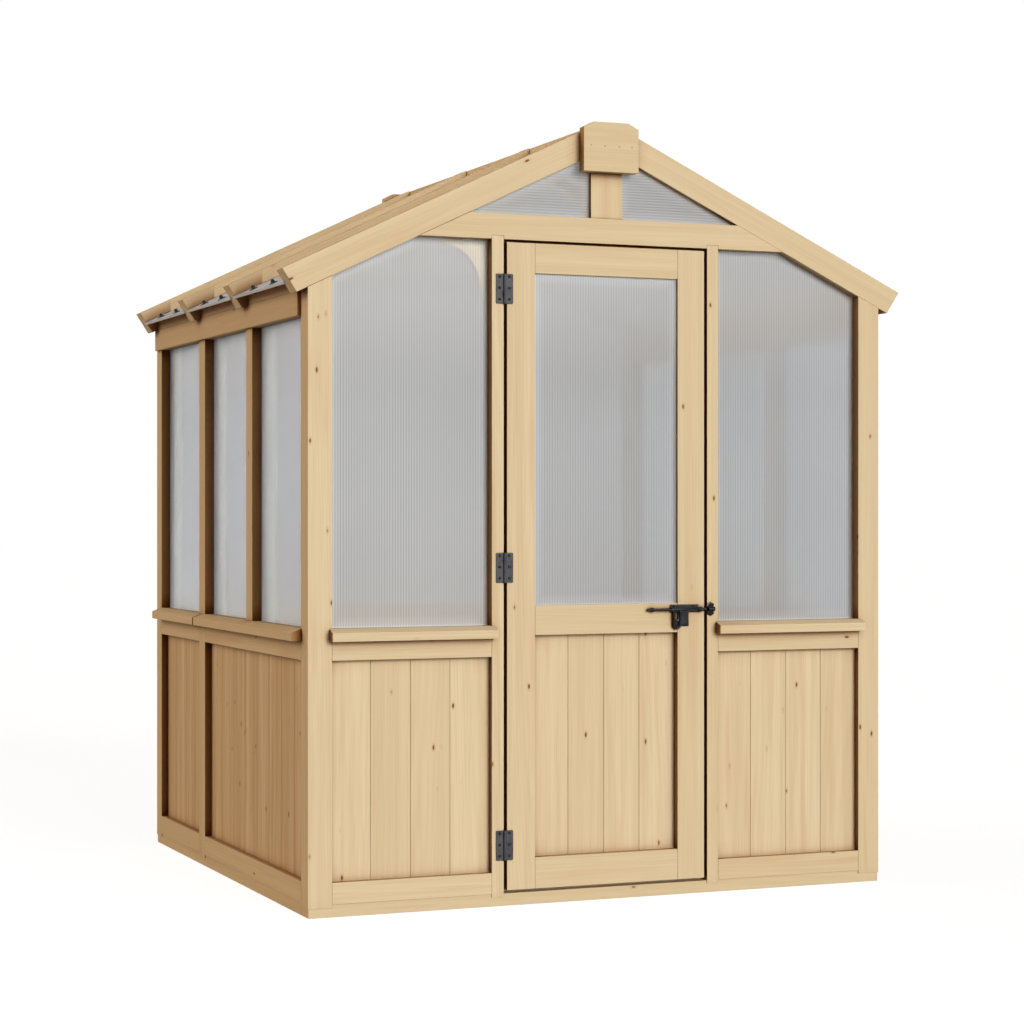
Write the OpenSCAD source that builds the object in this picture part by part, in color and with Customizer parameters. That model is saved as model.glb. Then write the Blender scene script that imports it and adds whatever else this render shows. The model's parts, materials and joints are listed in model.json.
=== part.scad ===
// Wooden greenhouse with a gabled roof, boarded lower walls and one hinged door.
// Millimetres. The ground is at Z 0, the door is on the -Y side, and the origin is
// the middle of the ground plan.

/* [Overall] */
// Width over the corner posts
wall_w = 1750; // [1600:10:2200]
// Depth over the corner posts
wall_d = 1627; // [1560:1:2200]
// Height of the lower edge of the eave beams
eave_h = 1608; // [1440:1:1800]
// Slope of the roof in degrees
roof_pitch = 25.5; // [23:0.5:30]
// Thickness of the walls, from the outer to the inner face of the frame
wall_t = 62; // [56:1:66]

/* [Base and uprights] */
// Height of the base plates
base_t = 34; // [26:1:45]
// How far the base plates lie behind the faces of the posts
base_inset = 2; // [1:0.5:4]
// How deep the uprights are let into the base plates
foot_depth = 9; // [5:1:14]
// Width of a corner post, seen from the door side
post_w = 68; // [60:1:90]
// Width of a stud beside the door
stud_w = 35.5; // [32:0.5:50]
// How far the studs beside the door reach up into the collar beam
stud_top_depth = 10; // [5:1:20]
// Width of the middle stud of a side wall
mid_stud_w = 62; // [50:1:80]
// From the door side to the middle of that stud
mid_stud_y = 555; // [480:1:600]
// Thickness of each half of the bolted joint stud
joint_stud_t = 34; // [28:1:42]
// From the door side to the middle of the joint stud
joint_stud_y = 1067; // [1000:1:1120]

/* [Boarded panels] */
// Height of the bottom rails
low_rail_h = 58.3; // [45:0.1:80]
// Height of the top of the boards' opening above the ground
boards_top = 684.4; // [560:0.1:690]
// Height of the lower face of the sills
sill_z = 736; // [725:1:860]
// Width that one board covers, about
board_w = 116; // [90:1:150]
// Thickness of the boards
board_t = 14; // [12:1:16]
// How far the boards lie behind the posts' faces
board_recess = 21; // [19:1:24]
// Length of the boards' tongues
tongue_l = 6; // [4:0.5:8]
// Thickness of the boards' tongues
tongue_t = 4; // [3:0.5:5]
// Chamfer on the front edges of the boards
board_chamfer = 1; // [1:0.5:3.5]
// Gap between the faces of two boards
board_gap = 0.3; // [0.3:0.1:1]

/* [Sills] */
// Thickness of the sills
sill_t = 34; // [28:1:45]
// How far the sills' noses stand out from the walls
sill_nose = 30; // [29:1:45]
// Height of the front of the nose
sill_nose_h = 23.5; // [16:0.5:26]
// How far the noses lap over the posts and studs
sill_lap = 8; // [3:1:12]
// Gap between the noses of the two sills of a side wall
sill_joint_gap = 10; // [6:1:16]

/* [Sheets] */
// Thickness of the twin-wall sheets
sheet_t = 8; // [6:1:10]
// How far the sheets lie behind the posts' faces, in the door wall and back wall
sheet_recess = 34; // [30:1:38]
// How far the sheets lie behind the posts' faces, in the side walls
side_sheet_recess = 29; // [26:1:34]
// How far the gable sheets lie behind the posts' faces
gable_sheet_recess = 18; // [12:1:24]
// Depth of the grooves that hold boards and sheets
groove = 9; // [7:1:11]
// Clearance between a panel and its groove
fit = 0.3; // [0.2:0.1:0.4]

/* [Roof] */
// Height of the outer face of the eave beams
eave_beam_h = 67; // [50:1:80]
// Width of the eave beams
eave_beam_w = 68; // [60:1:80]
// How far the eave beams stand out from the posts
eave_proud = 10; // [5:1:20]
// How far the eave beams end before the back of the house
eave_short = 14; // [5:1:30]
// Thickness of the rafters
rafter_t = 56; // [48:1:60]
// Depth of the rafters, square to the slope
rafter_h = 73; // [70:1:90]
// How far the rafters' tips reach out from the walls
roof_over = 70; // [60:1:100]
// How far the lower corner of a rafter's tip lies behind the upper one
tip_lean = 40; // [30:1:50]
// How far the outer rafters lie behind the posts' faces
rafter_inset = 2; // [1:0.5:4]
// Depth of the sheets' upper face below the rafters' tops, square to the slope
roof_sheet_depth = 35; // [30:1:38]
// How far the roof sheets reach past the walls
roof_sheet_over = 53; // [50:1:56]
// Depth of the roof sheets' grooves in the rafters
roof_groove = 12; // [9:1:16]
// Thickness of the ridge boards
ridge_t = 27; // [22:1:34]
// Depth of the ridge boards
ridge_h = 79.5; // [74:0.5:100]
// How far the ridge boards' top lies below the point of the rafters
ridge_drop = 8.5; // [7:0.5:14]
// From the door side to the joint of the ridge boards
ridge_joint_y = 959; // [700:1:1000]
// Gap between the rafters and the ridge boards
ridge_gap = 0.8; // [0.3:0.1:0.9]

/* [Gables] */
// How far the collar beams' lower faces lie above those of the eave beams
collar_rise = 222.6; // [200:0.1:240]
// Height of the collar beams
collar_h = 70.2; // [60:0.1:80]
// Width of the king posts
king_w = 95.3; // [80:0.1:120]
// How far the king posts lie behind the posts' faces
king_recess = 5; // [3:1:10]
// Width of the apex plates at their lower corners
apex_w = 168; // [140:1:200]
// Width of the flat top of the apex plates
apex_flat_w = 106; // [80:1:110]
// Height of the apex plates
apex_h = 138; // [110:1:150]
// Height of the sides of the apex plates
apex_side_h = 122; // [95:1:125]
// Thickness of the apex plates
apex_t = 30; // [18:1:30]
// How far the apex plates' top lies below the point of the rafters
apex_drop = 12; // [11:1:20]
// Length of the knee brace along the collar beam
knee_l = 127; // [90:1:160]
// Length of the knee brace along the stud
knee_h = 147; // [100:1:180]
// Width of the ends of the knee brace
knee_end = 15; // [10:1:25]

/* [Door] */
// Width of the door
door_w = 606; // [520:1:640]
// Thickness of the door
door_t = 34; // [32:1:36]
// Gap between the door and the studs
door_gap_side = 9.3; // [6:0.1:12]
// Gap under the door
door_gap_low = 8.3; // [5:0.1:12]
// Gap over the door
door_gap_top = 7.3; // [5:0.1:12]
// Width of the door's stiles
stile_w = 84; // [75:1:95]
// Height of the door's top rail
door_top_rail = 83.2; // [70:0.1:95]
// Height of the door's bottom rail
door_low_rail = 86.2; // [70:0.1:100]
// Height of the door's middle rail
door_mid_rail = 82.5; // [78:0.1:95]
// From the foot of the door to its middle rail
door_mid_z = 699.2; // [690:0.1:705]
// Length of the tenons on the door's rails
tenon_l = 40; // [25:1:60]
// Thickness of those tenons
tenon_t = 6; // [4:0.5:7]
// Shoulder above and below those tenons
tenon_shoulder = 14; // [11:1:20]
// How far the door's sheet lies behind its face
door_sheet_recess = 8; // [6:1:9]
// Thickness of the door's boards
door_board_t = 10; // [8:1:11]
// Width of the rebate that the door's boards lie in
door_rebate = 10; // [8:1:14]
// Width of the stop strips behind the door
stop_w = 18; // [14:1:24]
// Gap between the door and the stop strips
stop_gap = 0.6; // [0.4:0.1:0.9]

/* [Hinges] */
// Height of the hinges
hinge_h = 82; // [76:1:100]
// Width of the hinge leaf on the stud, from the pin
frame_leaf_w = 25; // [22:1:30]
// Width of the hinge leaf on the door, from the pin
door_leaf_w = 25.5; // [24:0.5:32]
// Thickness of the hinge leaves
leaf_t = 1.8; // [1.2:0.1:2.4]
// Radius of the hinges' knuckles
knuckle_r = 3.4; // [3:0.1:4]
// Radius of the hinge pins
pin_r = 2; // [1.5:0.1:2.2]
// Running clearance round the hinge pins
pin_play = 0.05; // [0.02:0.01:0.1]
// From the stud's face to the middle of the hinge pins
pin_x = 1.3; // [1:0.1:3]
// From the top of the door to the middle of the top hinge
top_hinge = 129; // [90:1:160]
// From the foot of the door to the middle of the middle hinge
mid_hinge = 886; // [860:1:920]
// From the foot of the door to the middle of the bottom hinge
low_hinge = 124; // [80:1:150]
// Distance between the screws of a leaf
screw_pitch = 31; // [25:1:33]
// How far the leaf's screws sit above its middle
screw_lift = 2.5; // [0:0.5:4]

/* [Latch] */
// Radius of the sliding bolt
bolt_r = 4; // [3:0.1:4.4]
// Length of the sliding bolt
bolt_l = 184.5; // [180:0.5:190]
// How far the bolt slides from drawn back to shot
bolt_travel = 55; // [54:1:58]
// How far the shot bolt reaches past the edge of the door
bolt_reach = 57.4; // [50:0.1:58]
// From the foot of the door to the middle of the bolt
bolt_z = 763.7; // [745:0.1:775]
// From the door's face to the middle of the bolt
bolt_y = 8; // [7.5:0.1:9]
// Running clearance round the bolt
bolt_play = 0.15; // [0.1:0.05:0.3]
// Wall of the bolt's barrel
barrel_wall = 2.3; // [1.6:0.1:2.6]
// From the edge of the door to the left end of the latch plate
latch_in = 109.2; // [107:0.1:111]
// Length of the latch plate along the bolt
latch_l = 89.6; // [86:0.1:92]
// Thickness of the latch plates
latch_t = 1.5; // [1:0.1:2]
// Height of the latch plate behind the bolt
latch_h = 22.7; // [20:0.1:26]
// How far the latch plate reaches above the bolt's middle
latch_rise = 13.7; // [12:0.1:15]
// Width of the latch plate's lower limb
limb_w = 36; // [30:1:45]
// Height of the latch plate's lower limb
limb_h = 39; // [30:1:45]
// Width of the bolt's flap handle
flap_w = 26; // [22:1:30]
// Thickness of the flap handle
flap_t = 2; // [1.5:0.1:2.4]
// From the bolt's middle to the lower end of the flap handle
flap_h = 56; // [50:1:64]
// Radius of the padlock eye in the flap handle
eye_r = 4.5; // [3.5:0.1:5]
// From the end of the bolt to the middle of the flap handle
flap_x = 92.4; // [90:0.1:95]
// Width of the keeper plate
keeper_w = 21.6; // [18:0.1:26]
// Height of the keeper plate
keeper_h = 40.5; // [36:0.5:48]

/* [Fasteners] */
// Radius of the small screws' heads
screw_head_r = 3; // [2.4:0.1:3.2]
// Height of the small screws' heads
screw_head_h = 2; // [1:0.1:2.4]
// Radius of the small screws' shanks
screw_r = 1.8; // [1.2:0.1:2]
// Length of the small screws of hinges and keeper
screw_l = 16; // [10:1:25]
// Length of the short screws of the latch, which end before the door's sheet
latch_screw_l = 8; // [5:0.5:9]
// Radius of the roof screws' washers
washer_r = 13.5; // [10:0.5:14.5]
// Radius of the roof screws' domed heads
roof_head_r = 6.5; // [5:0.5:8]
// Radius of the roof screws' shanks
roof_screw_r = 2.5; // [2:0.1:3]
// Distance between the two roof screws of a bay
roof_screw_pitch = 190; // [120:1:240]
// How far the roof screws lie past the walls
roof_screw_over = 35; // [33:1:38]
// Radius of the bolts through the joint studs
wall_bolt_r = 3; // [2.5:0.5:4]
// Height of those bolts above the ground
wall_bolt_z = 676.7; // [500:0.1:680]
// How far those bolts lie behind the stud's outer face
wall_bolt_in = 8; // [7:0.5:10]

/* [Hidden] */
$fn = 32;

pale_wood = [0.86, 0.77, 0.6];
side_wood = [0.8, 0.69, 0.5];
clear_sheet = [0.8, 0.82, 0.84, 0.6];
grey_steel = [0.42, 0.42, 0.43];
black_steel = [0.12, 0.12, 0.14];

// Small overlap that joins two shapes of one solid
weld = 0.01;
// Length by which a cutting shape passes the faces that it cuts
past = 20;
// Play between sloping faces that rest on one another
seat = 0.05;

half_w = wall_w / 2;
front_y = -wall_d / 2;
slope = tan(roof_pitch);
plumb = 1 / cos(roof_pitch);

post_in = half_w - post_w;
stud_in = door_w / 2 + door_gap_side;
stud_out = stud_in + stud_w;
foot_z = base_t - foot_depth;
low_rail_top = base_t + low_rail_h;
sill_top = sill_z + sill_t;
collar_z = eave_h + collar_rise;
collar_top = collar_z + collar_h;

eave_out = half_w + eave_proud;
eave_in = eave_out - eave_beam_w;
under_apex = eave_h + eave_beam_h + eave_out * slope;
top_apex = under_apex + rafter_h * plumb;
tip_x = half_w + roof_over;
rafter_x = ridge_t / 2 + ridge_gap;
ridge_top = top_apex - ridge_drop;
ridge_low = ridge_top - ridge_h;
rafter_ys = [rafter_inset + rafter_t / 2, mid_stud_y, joint_stud_y, wall_d - rafter_inset - rafter_t / 2];
bays = [for (i = [0:2]) [rafter_ys[i] + rafter_t / 2, rafter_ys[i + 1] - rafter_t / 2]];

joint_a = joint_stud_y - joint_stud_t;
joint_b = joint_stud_y + joint_stud_t;
mid_a = mid_stud_y - mid_stud_w / 2;
mid_b = mid_stud_y + mid_stud_w / 2;
// Stretches of a side wall between uprights: of the boards, and of the sheets
side_modules = [[wall_t, joint_a], [joint_b, wall_d - wall_t]];
side_windows = [[wall_t, mid_a], [mid_b, joint_a], [joint_b, wall_d - wall_t]];

door_z = base_t + door_gap_low;
door_top = collar_z - door_gap_top;
door_mid_low = door_z + door_mid_z;
door_mid_top = door_mid_low + door_mid_rail;
door_low_top = door_z + door_low_rail;
door_top_low = door_top - door_top_rail;
stile_in = door_w / 2 - stile_w;

hinge_x = -stud_in + pin_x;
hinge_y = front_y - knuckle_r;
hinge_zs = [door_z + low_hinge, door_z + mid_hinge, door_top - top_hinge];
knuckles = 5;
knuckle_l = hinge_h / knuckles;
knuckle_gap = 0.3;
leaf_gap = 0.4;
screw_hole_r = screw_r + 0.3;

bolt_mid_z = door_z + bolt_z;
bolt_mid_y = front_y - bolt_y;
barrel_r = bolt_r + bolt_play + barrel_wall;
latch_top = bolt_mid_z + latch_rise;
latch_low = latch_top - latch_h;
latch_x = door_w / 2 - latch_in;
latch_end = latch_x + latch_l;
limb_start = 23.2;
limb_x = latch_x + limb_start;
limb_z = latch_low - limb_h;
// Places of the latch's three screws, from the ends and edges of its plate
plate_screw_edge = 3.8;
plate_screw_ends = [12, 18];
limb_screw = [23, 5.5];
latch_screws = [[latch_x + plate_screw_ends[0], latch_top - plate_screw_edge],
  [latch_end - plate_screw_ends[1], latch_top - plate_screw_edge],
  [limb_x + limb_screw[0], limb_z + limb_screw[1]]];
// Ring at the right end of the barrel
guide_l = 8.6;
guide_r = barrel_r + 0.9;
// Stub that the flap handle's eye stands over when the bolt is drawn back
stub_r = 3.3;
stub_base_r = 5.8;
flap_gap = 1;

bolt_end_x = door_w / 2 + bolt_reach - bolt_travel;
bolt_x = [bolt_end_x - bolt_l, bolt_end_x];
rear_ring = [12.1, 17.6];
flap_mid_x = bolt_x[1] - flap_x;
flap_round_z = bolt_mid_z - flap_h + flap_w / 2;
flap_eye_z = flap_round_z + 5;
flap_slot_w = 9;
flap_slot_z = [flap_eye_z + 9.5, flap_eye_z + 30];
keeper_x = stud_in - 1;
keeper_edge = 1;
keeper_loop_x = [keeper_x + keeper_edge, keeper_x + keeper_w - keeper_edge];
keeper_screw_z = 13.5;

roof_screw_x = half_w + roof_screw_over;
roof_screw_tail = 2;
washer_t = 4;
roof_head_h = 8.5;
roof_nut_h = 4;
wall_bolt_head = 4;
wall_bolt_nut = 5;
pin_head_t = 1;
pin_head_edge = 0.8;
tenon_gap = 1;

// Height of the rafters' undersides at a distance x from the middle
function under(x) = under_apex - slope * x;
// Distance from the middle at which those undersides, raised by up, have the height z
function under_x(z, up) = (under_apex + up - z) / slope;
// Height of a plane that lies depth below the rafters' tops
function roof_z(x, depth) = top_apex - slope * x - depth * plumb;
// A stretch measured from the door side
function from_front(a, b) = [front_y + a, front_y + b];
// A stretch measured from the left side
function from_left(a, b) = [a - half_w, b - half_w];

module span(x, y, z)
  translate([x[0], y[0], z[0]])
    cube([x[1] - x[0], y[1] - y[0], z[1] - z[0]]);

// A flat shape in X and Z, given a stretch along Y
module along_y(y)
  translate([0, y[1], 0])
    rotate([90, 0, 0])
      linear_extrude(y[1] - y[0])
        children();

// A flat shape in Y and Z, given a stretch along X
module along_x(x)
  translate([x[0], 0, 0])
    rotate([90, 0, 90])
      linear_extrude(x[1] - x[0])
        children();

module both_sides() {
  children();
  mirror([1, 0, 0])
    children();
}

module both_ends() {
  children();
  mirror([0, 1, 0])
    children();
}

// Tongued and grooved boards that fill a stretch, upright, with their faces towards -Y.
// The outer boards reach a groove's depth further.
module board_row(length, thick, z, reach) {
  count = max(1, round(length / board_w));
  pitch = length / count;
  half = board_gap / 2;
  tongue = [thick / 2 - tongue_t / 2, thick / 2 + tongue_t / 2];
  slot = [tongue[0] - fit, tongue[1] + fit];
  for (i = [0:count - 1]) {
    first = i == 0;
    last = i == count - 1;
    a = first ? -reach : i * pitch + half;
    b = last ? length + reach : (i + 1) * pitch - half;
    translate([0, 0, z[0]])
      linear_extrude(z[1] - z[0])
        polygon(concat(
          first ? [[a, 0]] : [[a, board_chamfer], [a + board_chamfer, 0]],
          last ? [[b, 0]] : [[b - board_chamfer, 0], [b, board_chamfer]],
          last ? [] : [[b, tongue[0]], [b + tongue_l, tongue[0]],
            [b + tongue_l, tongue[1]], [b, tongue[1]]],
          [[b, thick], [a, thick]],
          first ? [] : [[a, slot[1]], [a + tongue_l + board_gap + fit, slot[1]],
            [a + tongue_l + board_gap + fit, slot[0]], [a, slot[0]]]));
  }
}

// Room of the boards and sheets, grown by g: the grooves are cut with these
module front_boards_room(g)
  span([-post_in - groove - g, -stud_out + groove + g],
    from_front(board_recess - g, board_recess + board_t + g),
    [low_rail_top - groove - g, boards_top + groove + g]);

module centre_boards_room(g)
  span([-stud_in - groove - g, stud_in + groove + g],
    from_front(board_recess - g, board_recess + board_t + g),
    [low_rail_top - groove - g, boards_top + groove + g]);

module side_boards_room(g)
  for (m = side_modules)
    span(from_left(board_recess - g, board_recess + board_t + g),
      from_front(m[0] - groove - g, m[1] + groove + g),
      [low_rail_top - groove - g, boards_top + groove + g]);

module front_sheet_room(g) {
  up = (groove + g) * plumb;
  outer = post_in + groove + g;
  inner = stud_out - groove - g;
  low = sill_top - groove - g;
  high = collar_z + groove + g;
  along_y(from_front(sheet_recess - g, sheet_recess + sheet_t + g))
    polygon([[-outer, low], [-inner, low], [-inner, high], [-under_x(high, up), high],
      [-outer, under(outer) + up]]);
}

module centre_sheet_room(g)
  span([-stud_in - groove - g, stud_in + groove + g],
    from_front(sheet_recess - g, sheet_recess + sheet_t + g),
    [sill_top - groove - g, collar_z + groove + g]);

module side_sheet_room(g)
  for (w = side_windows)
    span(from_left(side_sheet_recess - g, side_sheet_recess + sheet_t + g),
      from_front(w[0] - groove - g, w[1] + groove + g),
      [sill_top - groove - g, eave_h + groove + g]);

module gable_sheet_room(g) {
  up = (groove + g) * plumb;
  low = collar_top - groove - g;
  inner = king_w / 2 - groove - g;
  along_y(from_front(gable_sheet_recess - g, gable_sheet_recess + sheet_t + g))
    polygon([[-inner, low], [-under_x(low, up), low], [-inner, under(inner) + up]]);
}

// A slab of the left roof slope, between two depths below the rafters' tops
module roof_slab(y, depths, x)
  along_y(y)
    polygon([[-x[0], roof_z(x[0], depths[0])], [-x[1], roof_z(x[1], depths[0])],
      [-x[1] + (depths[1] - depths[0]) * sin(roof_pitch),
        roof_z(x[1] - (depths[1] - depths[0]) * sin(roof_pitch), depths[1])],
      [-x[0], roof_z(x[0], depths[1])]]);

module roof_grooves()
  for (b = bays)
    roof_slab(from_front(b[0] - roof_groove, b[1] + roof_groove),
      [roof_sheet_depth - fit, roof_sheet_depth + sheet_t + fit], [0, tip_x + past]);

module left_rooms() {
  front_boards_room(fit);
  front_sheet_room(fit);
  side_boards_room(fit);
  side_sheet_room(fit);
}

module left_back_rooms() {
  mirror([0, 1, 0])
    front_boards_room(fit);
  mirror([0, 1, 0])
    front_sheet_room(fit);
  side_boards_room(fit);
  side_sheet_room(fit);
}

// Base plates
module front_feet()
  both_sides() {
    span([-half_w, -post_in], from_front(0, wall_t), [foot_z, base_t + past]);
    span([-stud_out, -stud_in], from_front(0, wall_t), [foot_z, base_t + past]);
  }

module joint_stud_blank()
  for (y = [[joint_a, joint_stud_y], [joint_stud_y, joint_b]])
    span(from_left(0, wall_t), from_front(y[0], y[1]), [foot_z, eave_h]);

module base_front()
  color(pale_wood)
    difference() {
      span([base_inset - half_w, half_w - base_inset],
        from_front(base_inset, base_inset + wall_t), [0, base_t]);
      front_feet();
    }

module base_back()
  mirror([0, 1, 0])
    base_front();

module base_left()
  color(side_wood)
    difference() {
      span(from_left(base_inset, base_inset + wall_t),
        from_front(base_inset + wall_t, wall_d - base_inset - wall_t), [0, base_t]);
      joint_stud_blank();
    }

module base_right()
  mirror([1, 0, 0])
    base_left();

// Uprights
module corner_post_blank()
  along_y(from_front(0, wall_t))
    polygon([[-half_w, foot_z], [-post_in, foot_z], [-post_in, under(post_in)], [-half_w, under(half_w)]]);

module post_front_left()
  color(pale_wood)
    difference() {
      corner_post_blank();
      left_rooms();
    }

module post_front_right()
  mirror([1, 0, 0])
    post_front_left();

module post_back_left()
  color(side_wood)
    difference() {
      mirror([0, 1, 0])
        corner_post_blank();
      left_back_rooms();
      eave_beam_blank();
    }

module post_back_right()
  mirror([1, 0, 0])
    post_back_left();

module door_stud_blank()
  span([-stud_out, -stud_in], from_front(0, wall_t), [foot_z, collar_z + stud_top_depth]);

module door_stud_left()
  color(pale_wood)
    difference() {
      door_stud_blank();
      front_boards_room(fit);
      front_sheet_room(fit);
    }

module door_stud_right()
  mirror([1, 0, 0])
    door_stud_left();

module back_studs()
  color(side_wood)
    mirror([0, 1, 0])
      both_sides()
        difference() {
          door_stud_left();
          centre_boards_room(fit);
          centre_sheet_room(fit);
        }

module wall_bolt_hole()
  translate([wall_bolt_in - half_w, front_y + joint_b + past, wall_bolt_z])
    rotate([90, 0, 0])
      cylinder(r = wall_bolt_r + fit / 2, h = joint_b - joint_a + 2 * past);

module left_studs()
  color(side_wood)
    difference() {
      union() {
        for (y = [[joint_a, joint_stud_y - weld], [joint_stud_y + weld, joint_b]])
          span(from_left(0, wall_t), from_front(y[0], y[1]), [foot_z, eave_h]);
        span(from_left(0, wall_t), from_front(mid_a, mid_b), [sill_top, eave_h]);
      }
      side_boards_room(fit);
      side_sheet_room(fit);
      wall_bolt_hole();
    }

module right_studs()
  mirror([1, 0, 0])
    left_studs();

// Rails, sills and boards of the lower walls
rail_zs = [[base_t, low_rail_top], [boards_top, sill_z]];

module front_rails()
  color(pale_wood)
    both_sides()
      difference() {
        for (z = rail_zs)
          span([-post_in, -stud_out], from_front(0, wall_t), z);
        front_boards_room(fit);
      }

module back_rails()
  color(side_wood)
    mirror([0, 1, 0]) {
      front_rails();
      difference() {
        for (z = rail_zs)
          span([-stud_in, stud_in], from_front(0, wall_t), z);
        centre_boards_room(fit);
      }
    }

module left_rails()
  color(side_wood)
    difference() {
      for (m = side_modules)
        for (z = rail_zs)
          span(from_left(0, wall_t), from_front(m[0], m[1]), z);
      side_boards_room(fit);
    }

module right_rails()
  mirror([1, 0, 0])
    left_rails();

// Cross-section of a sill, with the wall's face at 0 and the nose towards the negative side
module sill_profile()
  polygon([[-sill_nose, sill_z], [wall_t, sill_z], [wall_t, sill_top], [0, sill_top],
    [-sill_nose, sill_z + sill_nose_h]]);

// A sill whose nose laps over the uprights on both sides of its body
module sill_along_x(body, nose)
  difference() {
    translate([0, front_y, 0])
      along_x(nose)
        sill_profile();
    for (x = [[nose[0] - past, body[0]], [body[1], nose[1] + past]])
      span(x, from_front(0, wall_t + past), [sill_z - past, sill_top + past]);
  }

module sill_along_y(body, nose)
  difference() {
    translate([-half_w, 0, 0])
      along_y(nose)
        sill_profile();
    for (y = [[nose[0] - past, body[0]], [body[1], nose[1] + past]])
      span(from_left(0, wall_t + past), y, [sill_z - past, sill_top + past]);
  }

module front_sills()
  color(pale_wood)
    both_sides()
      difference() {
        sill_along_x([-post_in, -stud_out], [-post_in - sill_lap, -stud_out + sill_lap]);
        front_sheet_room(fit);
      }

module back_sills()
  color(side_wood)
    mirror([0, 1, 0]) {
      front_sills();
      difference() {
        sill_along_x([-stud_in, stud_in], [-stud_in - sill_lap, stud_in + sill_lap]);
        centre_sheet_room(fit);
      }
    }

module left_sills()
  color(side_wood)
    difference() {
      union() {
        sill_along_y(from_front(wall_t, joint_a),
          from_front(wall_t - sill_lap, joint_stud_y - sill_joint_gap / 2));
        sill_along_y(from_front(joint_b, wall_d - wall_t),
          from_front(joint_stud_y + sill_joint_gap / 2, wall_d - wall_t + sill_lap));
      }
      side_sheet_room(fit);
    }

module right_sills()
  mirror([1, 0, 0])
    left_sills();

board_z = [low_rail_top - groove, boards_top + groove];

module front_boards()
  color(pale_wood)
    both_sides()
      translate([-post_in, front_y + board_recess, 0])
        board_row(post_in - stud_out, board_t, board_z, groove);

module back_boards()
  color(side_wood)
    mirror([0, 1, 0]) {
      front_boards();
      translate([-stud_in, front_y + board_recess, 0])
        board_row(2 * stud_in, board_t, board_z, groove);
    }

module left_boards()
  color(side_wood)
    for (m = side_modules)
      translate([board_recess - half_w, front_y + m[1], 0])
        rotate([0, 0, -90])
          board_row(m[1] - m[0], board_t, board_z, groove);

module right_boards()
  mirror([1, 0, 0])
    left_boards();

// Eaves
module eave_beam_blank()
  along_y(from_front(wall_t, wall_d - eave_short))
    polygon([[-eave_out, eave_h], [-eave_in, eave_h], [-eave_in, under(eave_in)],
      [-eave_out, under(eave_out)]]);

module eave_beam_left()
  color(side_wood)
    difference() {
      eave_beam_blank();
      side_sheet_room(fit);
    }

module eave_beam_right()
  mirror([1, 0, 0])
    eave_beam_left();

module eave_fillers()
  color(side_wood)
    both_sides()
      for (b = bays)
        along_y(from_front(b[0], b[1]))
          polygon([[-eave_out, under(eave_out) + seat], [-eave_in, under(eave_in) + seat],
            [-eave_in, roof_z(eave_in, roof_sheet_depth + sheet_t + fit)],
            [-eave_out, roof_z(eave_out, roof_sheet_depth + sheet_t + fit)]]);

// Gables
module collar_beam_front()
  color(pale_wood)
    difference() {
      along_y(from_front(0, wall_t))
        polygon([[-under_x(collar_z, 0), collar_z], [under_x(collar_z, 0), collar_z],
          [under_x(collar_top, 0), collar_top], [-under_x(collar_top, 0), collar_top]]);
      both_sides() {
        door_stud_blank();
        front_sheet_room(fit);
        gable_sheet_room(fit);
      }
    }

module collar_beam_back()
  color(side_wood)
    mirror([0, 1, 0])
      difference() {
        collar_beam_front();
        centre_sheet_room(fit);
      }

module king_posts()
  color(pale_wood)
    both_ends()
      difference() {
        along_y(from_front(king_recess, wall_t))
          polygon([[-king_w / 2, collar_top], [king_w / 2, collar_top], [king_w / 2, under(king_w / 2)],
            [under_x(ridge_low, 0), ridge_low], [-under_x(ridge_low, 0), ridge_low],
            [-king_w / 2, under(king_w / 2)]]);
        both_sides()
          gable_sheet_room(fit);
      }

module apex_plates()
  color(pale_wood)
    both_ends()
      translate([0, 0, top_apex - apex_drop - apex_h])
        along_y(from_front(rafter_inset - apex_t, rafter_inset))
          polygon([[-apex_w / 2, 0], [apex_w / 2, 0], [apex_w / 2, apex_side_h], [apex_flat_w / 2, apex_h],
            [-apex_flat_w / 2, apex_h], [-apex_w / 2, apex_side_h]]);

// Quarter of an ellipse round the free side of the knee brace
knee_steps = 16;
knee_arc = [for (i = [0:knee_steps])
  let (a = 90 * i / knee_steps)
    [(knee_l - knee_end) * cos(a) - knee_l, (knee_h - knee_end) * sin(a) - knee_h]];

module knee_brace()
  color(pale_wood)
    translate([-stud_out, 0, collar_z])
      along_y(from_front(sheet_recess + sheet_t + fit, wall_t))
        polygon(concat([[0, 0], [0, -knee_h]], knee_arc, [[-knee_l, 0]]));

// Roof timbers
module rafter_pair(y)
  both_sides()
    difference() {
      along_y(from_front(y - rafter_t / 2, y + rafter_t / 2))
        polygon([[-rafter_x, roof_z(rafter_x, 0)], [-tip_x, roof_z(tip_x, 0)],
          [tip_lean - tip_x, under(tip_x - tip_lean) + seat], [-rafter_x, under(rafter_x) + seat]]);
      roof_grooves();
    }

module front_rafters()
  color(pale_wood)
    difference() {
      rafter_pair(rafter_ys[0]);
      both_sides() {
        front_sheet_room(fit);
        gable_sheet_room(fit);
      }
    }

module second_rafters()
  color(pale_wood)
    rafter_pair(rafter_ys[1]);

module third_rafters()
  color(pale_wood)
    rafter_pair(rafter_ys[2]);

module back_rafters()
  color(pale_wood)
    difference() {
      rafter_pair(rafter_ys[3]);
      mirror([0, 1, 0])
        both_sides() {
          front_sheet_room(fit);
          gable_sheet_room(fit);
        }
    }

module ridge_boards()
  color(pale_wood)
    for (y = [[rafter_inset, ridge_joint_y - fit / 2], [ridge_joint_y + fit / 2, wall_d - rafter_inset]])
      span([-ridge_t / 2, ridge_t / 2], from_front(y[0], y[1]), [ridge_low, ridge_top]);

// Sheets
module front_sheets()
  color(clear_sheet)
    both_sides()
      front_sheet_room(0);

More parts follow.
